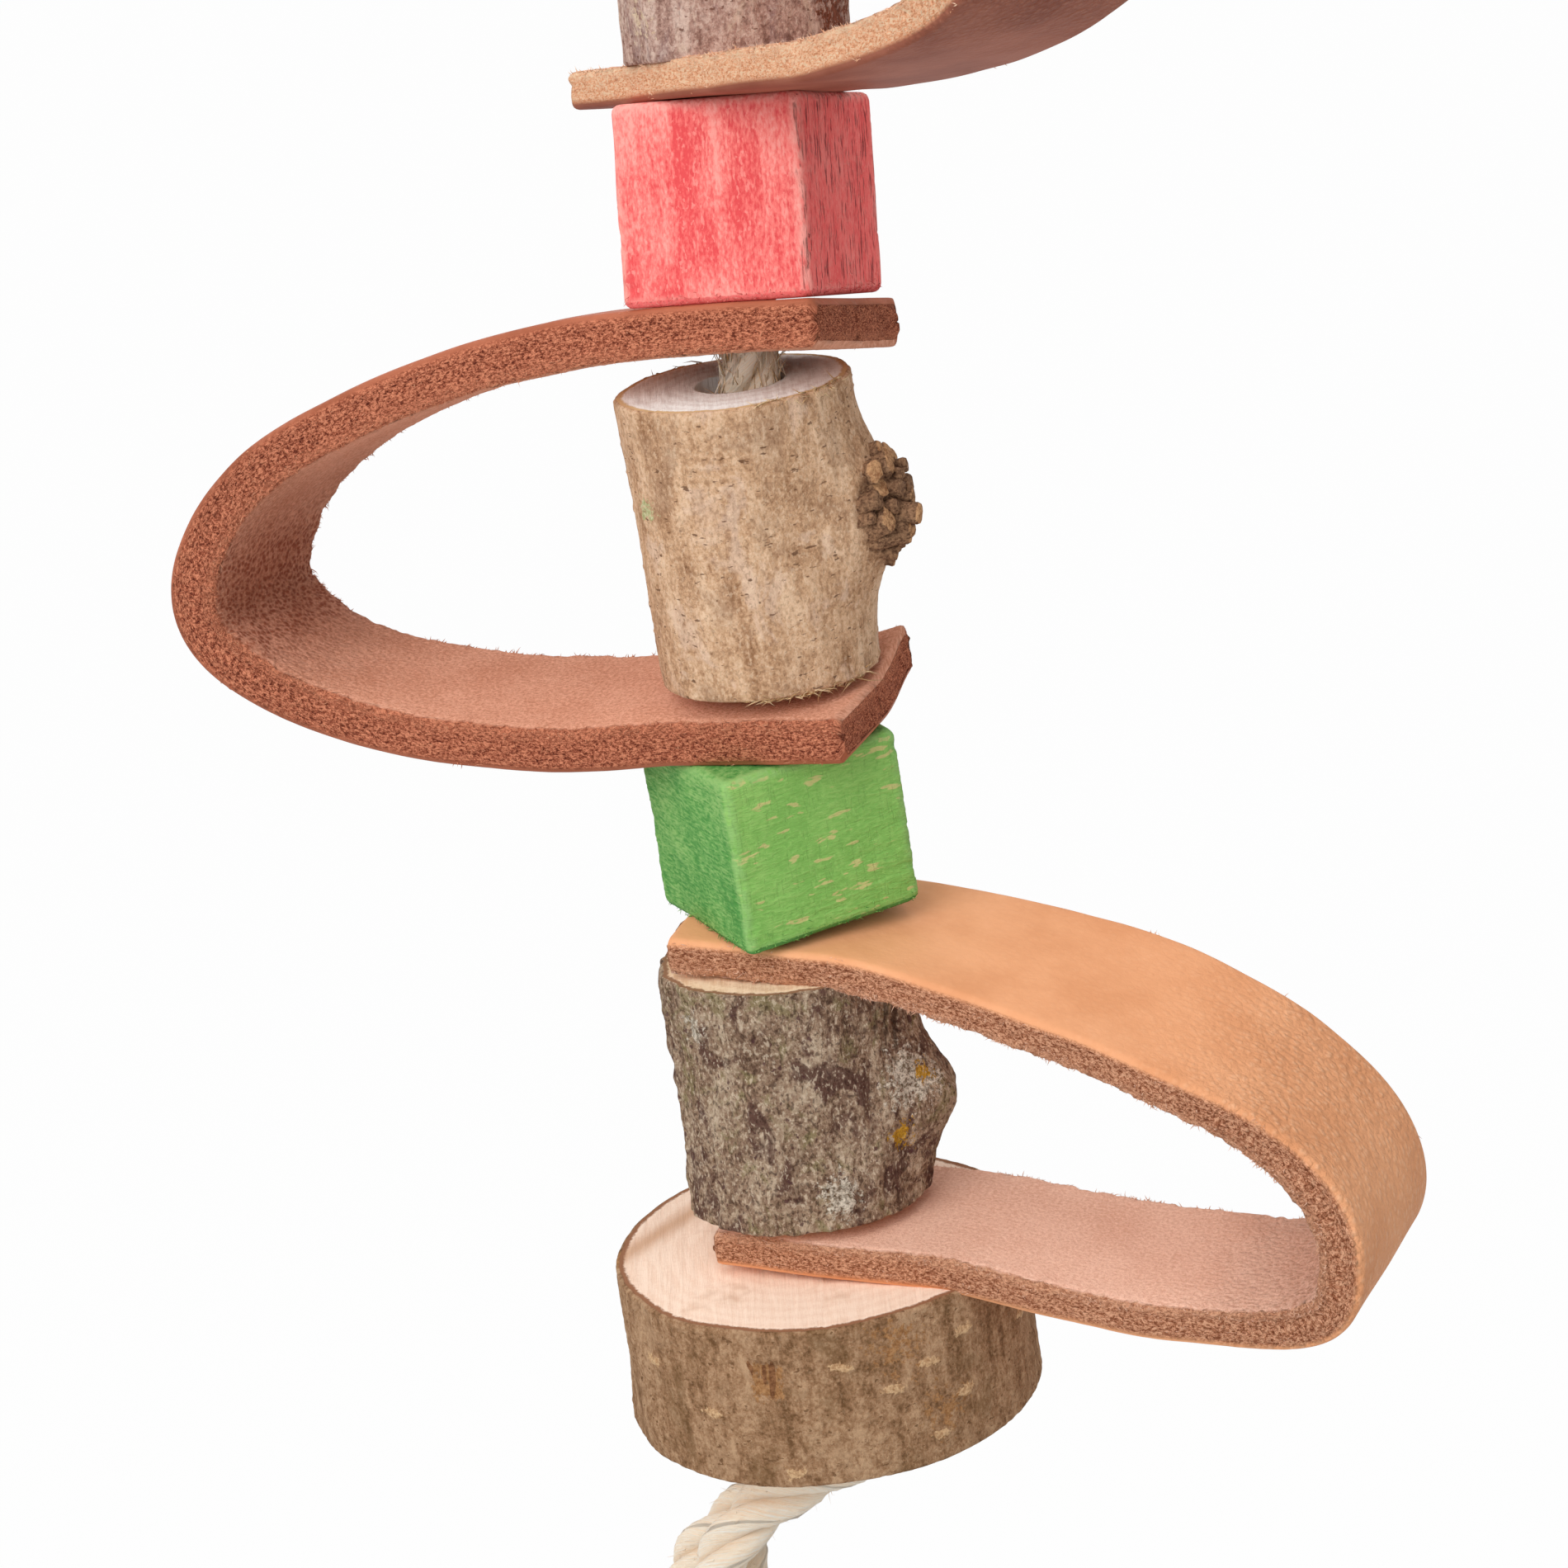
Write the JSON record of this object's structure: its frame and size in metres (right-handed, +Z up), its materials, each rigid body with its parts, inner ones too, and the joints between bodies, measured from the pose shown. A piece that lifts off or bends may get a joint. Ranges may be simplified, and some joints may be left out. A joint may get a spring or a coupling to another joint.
{
  "type": "hanging leather bird chew toy",
  "caption": "Chew toy for parrots: leather loops, lengths of branch, stained wooden cubes and a log slice threaded on a knotted rope that hangs from a steel quick link.",
  "frame": {"origin": "inside of the quick link's upper bow, where the toy hangs on a cage bar or hook", "axes": "+Z up along the hanging toy, +X to the right and +Y away from the viewer of the picture"},
  "size_m": [0.1253, 0.0939, 0.3035],
  "materials": {
    "steel": "zinc-plated, satin",
    "rope": "twisted plant fibre, matt",
    "leather_peach": "smooth grain, raw edges",
    "leather_brown": "suede, raw edges",
    "leather_tan": "smooth grain, raw edges",
    "bark_taupe": "bark, matt",
    "bark_tan": "bark, matt",
    "bark_grey": "rough bark with lichen, matt",
    "bark_brown": "bark, sawn faces, matt",
    "red_stain": "stained, matt",
    "green_stain": "stained, matt"
  },
  "bodies": {
    "link": {"quick_link": "steel"},
    "sleeve": {"quick_link_sleeve": "steel"},
    "rope": {"rope": "rope"},
    "leather_loop_top": {"leather_loop_top": "leather_peach"},
    "leather_loop_middle": {"leather_loop_middle": "leather_brown"},
    "leather_loop_lower": {"leather_loop_lower": "leather_tan"},
    "branch_top": {"branch_top": "bark_taupe"},
    "cube_red": {"cube_red": "red_stain"},
    "branch_middle": {"branch_middle": "bark_tan"},
    "cube_green": {"cube_green": "green_stain"},
    "branch_lower": {"branch_lower": "bark_grey"},
    "log_slice": {"log_slice": "bark_brown"}
  },
  "joints": [
    {"name": "sleeve_travel", "type": "slide", "parent": "link", "child": "sleeve", "axis": [0, 0, 1], "range_m": [0, 0.008]},
    {"name": "toy_swing", "type": "hinge", "parent": "link", "child": "rope", "pos_m": [0, 0, -0.036], "axis": [1, 0, 0], "range_deg": [-45, 45]},
    {"name": "leather_loop_top_turn", "type": "hinge", "parent": "rope", "child": "leather_loop_top", "pos_m": [-0.00003, 0.00294, -0.09416], "axis": [-0.0044, 0.075, 0.9972], "range_deg": [-8, 8]},
    {"name": "leather_loop_middle_turn", "type": "hinge", "parent": "rope", "child": "leather_loop_middle", "pos_m": [-0.00101, 0.00018, -0.15612], "axis": [0, -0.0421, 0.9991], "range_deg": [-8, 8]},
    {"name": "leather_loop_lower_turn", "type": "hinge", "parent": "rope", "child": "leather_loop_lower", "pos_m": [-0.00053, 0.00368, -0.21667], "axis": [-0.0143, -0.0378, 0.9992], "range_deg": [-8, 8]},
    {"name": "branch_top_spin", "type": "hinge", "parent": "rope", "child": "branch_top", "pos_m": [0, 0.0026, -0.0942], "axis": [-0.0069, 0.1115, 0.9937], "continuous": true},
    {"name": "cube_red_spin", "type": "hinge", "parent": "rope", "child": "cube_red", "pos_m": [0, 0.0008, -0.12443], "axis": [0, 0.1495, 0.9888], "continuous": true},
    {"name": "branch_middle_spin", "type": "hinge", "parent": "rope", "child": "branch_middle", "pos_m": [-0.001, 0.0002, -0.15694], "axis": [-0.0697, -0.0522, 0.9962], "continuous": true},
    {"name": "cube_green_spin", "type": "hinge", "parent": "rope", "child": "cube_green", "pos_m": [-0.0012, 0.0021, -0.18812], "axis": [-0.0831, -0.1128, 0.9901], "continuous": true},
    {"name": "branch_lower_spin", "type": "hinge", "parent": "rope", "child": "branch_lower", "pos_m": [-0.0006, 0.0037, -0.21684], "axis": [-0.0418, -0.0593, 0.9974], "continuous": true},
    {"name": "log_slice_spin", "type": "hinge", "parent": "rope", "child": "log_slice", "pos_m": [0, 0.005, -0.24361], "axis": [-0.0607, -0.1043, 0.9927], "continuous": true}
  ]
}
